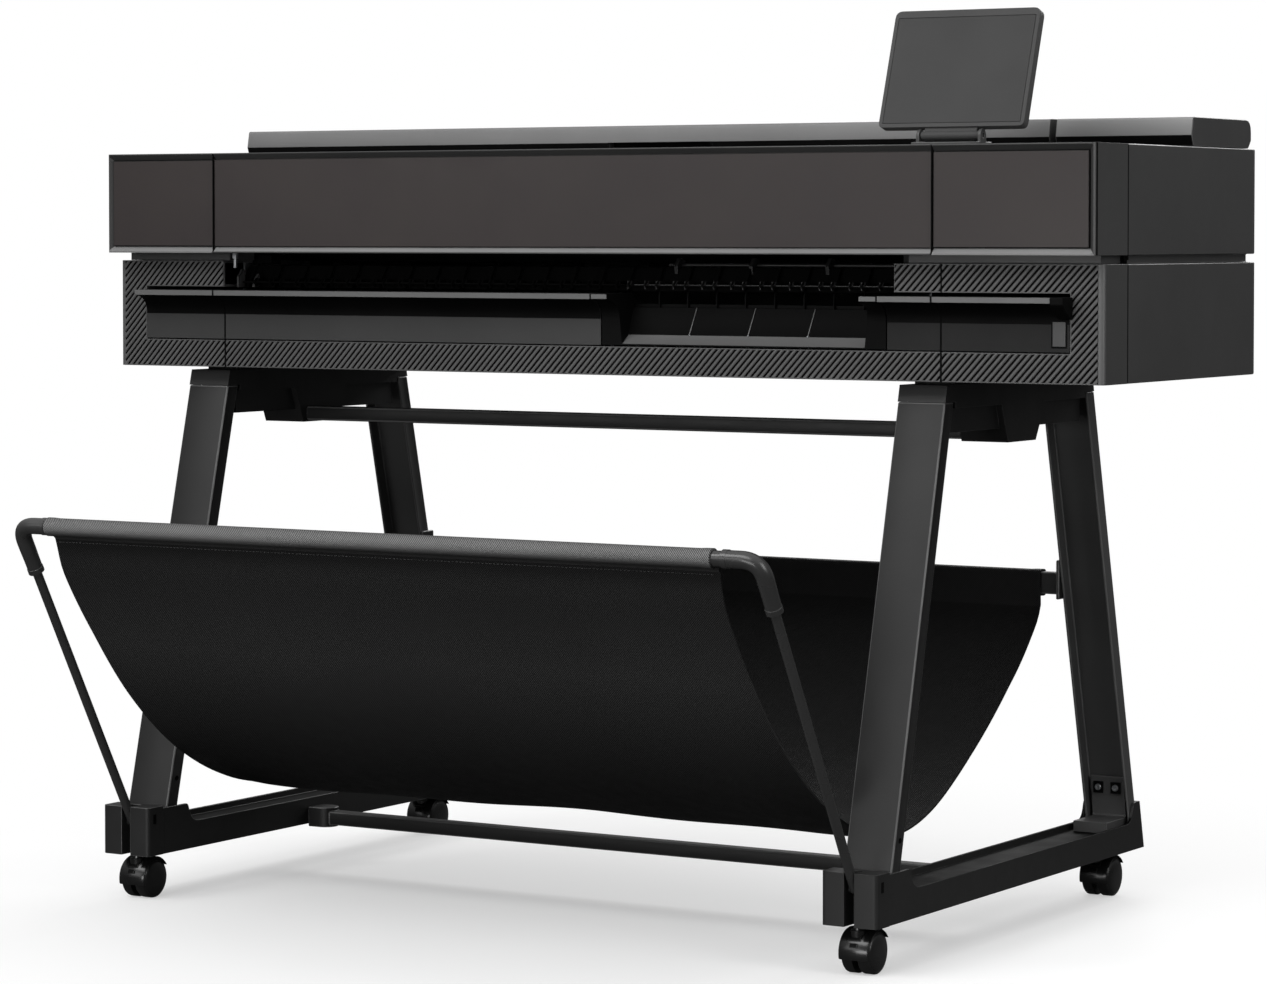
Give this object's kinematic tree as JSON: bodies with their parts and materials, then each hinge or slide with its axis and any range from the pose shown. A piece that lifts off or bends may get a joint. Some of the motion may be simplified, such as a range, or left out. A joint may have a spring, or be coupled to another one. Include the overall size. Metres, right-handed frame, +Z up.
{
  "type": "large format plotter",
  "caption": "Wide inkjet plotter body with tilting control panel on a rolling stand, with a cloth catch basket hung between the stand and a folding front frame",
  "frame": {"origin": "on the floor, under the middle of the object's box", "axes": "+X to the plotter's right end seen from the front, +Y to its back, +Z up; the front faces -Y"},
  "size_m": [1.403, 0.948, 1.1039],
  "materials": {
    "shell": "fine satin texture",
    "ribbed": "diagonal ribs, satin",
    "gloss_panel": "warm dark gloss",
    "lid": "satin",
    "inner_plastic": "plain",
    "rubber": "ground",
    "sheet_steel": "zinc plated",
    "stand_paint": "fine powder coat",
    "caster_plastic": "moulded",
    "wheel": "moulded",
    "bar_gloss": "gloss tube and elbows",
    "basket_fabric": "fine twill",
    "screen": "dark glossy screen",
    "ink_plastic": "moulded"
  },
  "bodies": {
    "printer": {"left_cap": "shell", "right_cap": "shell", "left_side_cover": "shell", "right_side_cover": "shell", "left_cheek": "ribbed", "right_cheek": "ribbed", "lower_front_strip": "ribbed", "top_deck": "shell", "rear_cover": "shell", "power_inlet": "inner_plastic", "right_top_cover": "lid", "panel_foot": "shell", "left_deflector": "shell", "right_deflector": "shell", "output_shelf": "shell", "base_pan": "sheet_steel", "left_end_frame": "sheet_steel", "right_end_frame": "sheet_steel", "platen": "inner_plastic", "pinch_bar": "inner_plastic", "carriage_rail": "sheet_steel", "service_station": "inner_plastic", "ink_cartridge_1": "ink_plastic", "ink_cartridge_2": "ink_plastic", "ink_cartridge_3": "ink_plastic", "left_foot": "stand_paint", "right_foot": "stand_paint", "left_front_leg": "stand_paint", "left_rear_leg": "stand_paint", "right_front_leg": "stand_paint", "right_rear_leg": "stand_paint", "left_bridge": "stand_paint", "right_bridge": "stand_paint", "left_leg_bracket": "stand_paint", "right_leg_bracket": "stand_paint", "upper_bar": "stand_paint", "lower_bar": "stand_paint", "basket_rear_bar": "stand_paint", "basket_cloth": "basket_fabric"},
    "window": {"window_frame": "shell", "window_pane": "gloss_panel"},
    "ink_door": {"left_ink_door": "gloss_panel"},
    "service_door": {"right_service_door": "gloss_panel"},
    "roll_lid": {"roll_cover": "lid"},
    "panel": {"control_panel": "shell", "panel_screen": "screen"},
    "rocker": {"power_switch": "inner_plastic"},
    "print_carriage": {"carriage": "inner_plastic"},
    "cutter_head": {"cutter": "inner_plastic"},
    "feed_roller": {"drive_roller": "rubber"},
    "roll_spindle": {"spindle": "inner_plastic"},
    "basket_front": {"basket_frame": "bar_gloss"},
    "left_front_swivel": {"left_front_caster_housing": "caster_plastic"},
    "left_rear_swivel": {"left_rear_caster_housing": "caster_plastic"},
    "right_front_swivel": {"right_front_caster_housing": "caster_plastic"},
    "right_rear_swivel": {"right_rear_caster_housing": "caster_plastic"},
    "left_front_wheels": {"left_front_caster_wheels": "wheel"},
    "left_rear_wheels": {"left_rear_caster_wheels": "wheel"},
    "right_front_wheels": {"right_front_caster_wheels": "wheel"},
    "right_rear_wheels": {"right_rear_caster_wheels": "wheel"}
  },
  "joints": [
    {"name": "window_hinge", "type": "hinge", "parent": "printer", "child": "window", "pos_m": [-0.01725, -0.116, 0.9375], "axis": [-1, 0, 0], "range_deg": [0, 85]},
    {"name": "ink_door_hinge", "type": "hinge", "parent": "printer", "child": "ink_door", "pos_m": [-0.6162, -0.128, 0.826], "axis": [1, 0, 0], "range_deg": [0, 88]},
    {"name": "service_door_hinge", "type": "hinge", "parent": "printer", "child": "service_door", "pos_m": [0.59895, -0.128, 0.826], "axis": [1, 0, 0], "range_deg": [0, 88]},
    {"name": "roll_cover_hinge", "type": "hinge", "parent": "printer", "child": "roll_lid", "pos_m": [-0.09, 0.323, 0.955], "axis": [-1, 0, 0], "range_deg": [0, 88]},
    {"name": "panel_tilt", "type": "hinge", "parent": "printer", "child": "panel", "pos_m": [0.479, -0.048, 0.955], "axis": [1, 0, 0], "range_deg": [-50, 15]},
    {"name": "switch_rock", "type": "hinge", "parent": "printer", "child": "rocker", "pos_m": [0.606, 0.343, 0.716], "axis": [1, 0, 0], "range_deg": [-16, 0]},
    {"name": "carriage_slide", "type": "slide", "parent": "printer", "child": "print_carriage", "axis": [1, 0, 0], "range_m": [-1.067, 0]},
    {"name": "cutter_slide", "type": "slide", "parent": "printer", "child": "cutter_head", "axis": [1, 0, 0], "range_m": [0, 0.945]},
    {"name": "roller_spin", "type": "hinge", "parent": "printer", "child": "feed_roller", "pos_m": [-0.05, 0.068, 0.785], "axis": [1, 0, 0], "continuous": true},
    {"name": "spindle_spin", "type": "hinge", "parent": "printer", "child": "roll_spindle", "pos_m": [-0.05, 0.243, 0.88], "axis": [1, 0, 0], "continuous": true},
    {"name": "basket_fold", "type": "hinge", "parent": "printer", "child": "basket_front", "pos_m": [-0.0585, -0.243, 0.098], "axis": [-1, 0, 0], "range_deg": [0, 28], "deforming": ["basket_cloth"]},
    {"name": "left_front_swivel_turn", "type": "hinge", "parent": "printer", "child": "left_front_swivel", "pos_m": [-0.5755, -0.234, 0.05], "axis": [0, 0, 1], "continuous": true},
    {"name": "left_rear_swivel_turn", "type": "hinge", "parent": "printer", "child": "left_rear_swivel", "pos_m": [-0.5755, 0.409, 0.05], "axis": [0, 0, 1], "continuous": true},
    {"name": "right_front_swivel_turn", "type": "hinge", "parent": "printer", "child": "right_front_swivel", "pos_m": [0.4585, -0.234, 0.05], "axis": [0, 0, 1], "continuous": true},
    {"name": "right_rear_swivel_turn", "type": "hinge", "parent": "printer", "child": "right_rear_swivel", "pos_m": [0.4585, 0.409, 0.05], "axis": [0, 0, 1], "continuous": true},
    {"name": "left_front_wheel_spin", "type": "hinge", "parent": "left_front_swivel", "child": "left_front_wheels", "pos_m": [-0.5755, -0.22, 0.025], "axis": [1, 0, 0], "continuous": true},
    {"name": "left_rear_wheel_spin", "type": "hinge", "parent": "left_rear_swivel", "child": "left_rear_wheels", "pos_m": [-0.5755, 0.423, 0.025], "axis": [1, 0, 0], "continuous": true},
    {"name": "right_front_wheel_spin", "type": "hinge", "parent": "right_front_swivel", "child": "right_front_wheels", "pos_m": [0.4585, -0.22, 0.025], "axis": [1, 0, 0], "continuous": true},
    {"name": "right_rear_wheel_spin", "type": "hinge", "parent": "right_rear_swivel", "child": "right_rear_wheels", "pos_m": [0.4585, 0.423, 0.025], "axis": [1, 0, 0], "continuous": true}
  ]
}
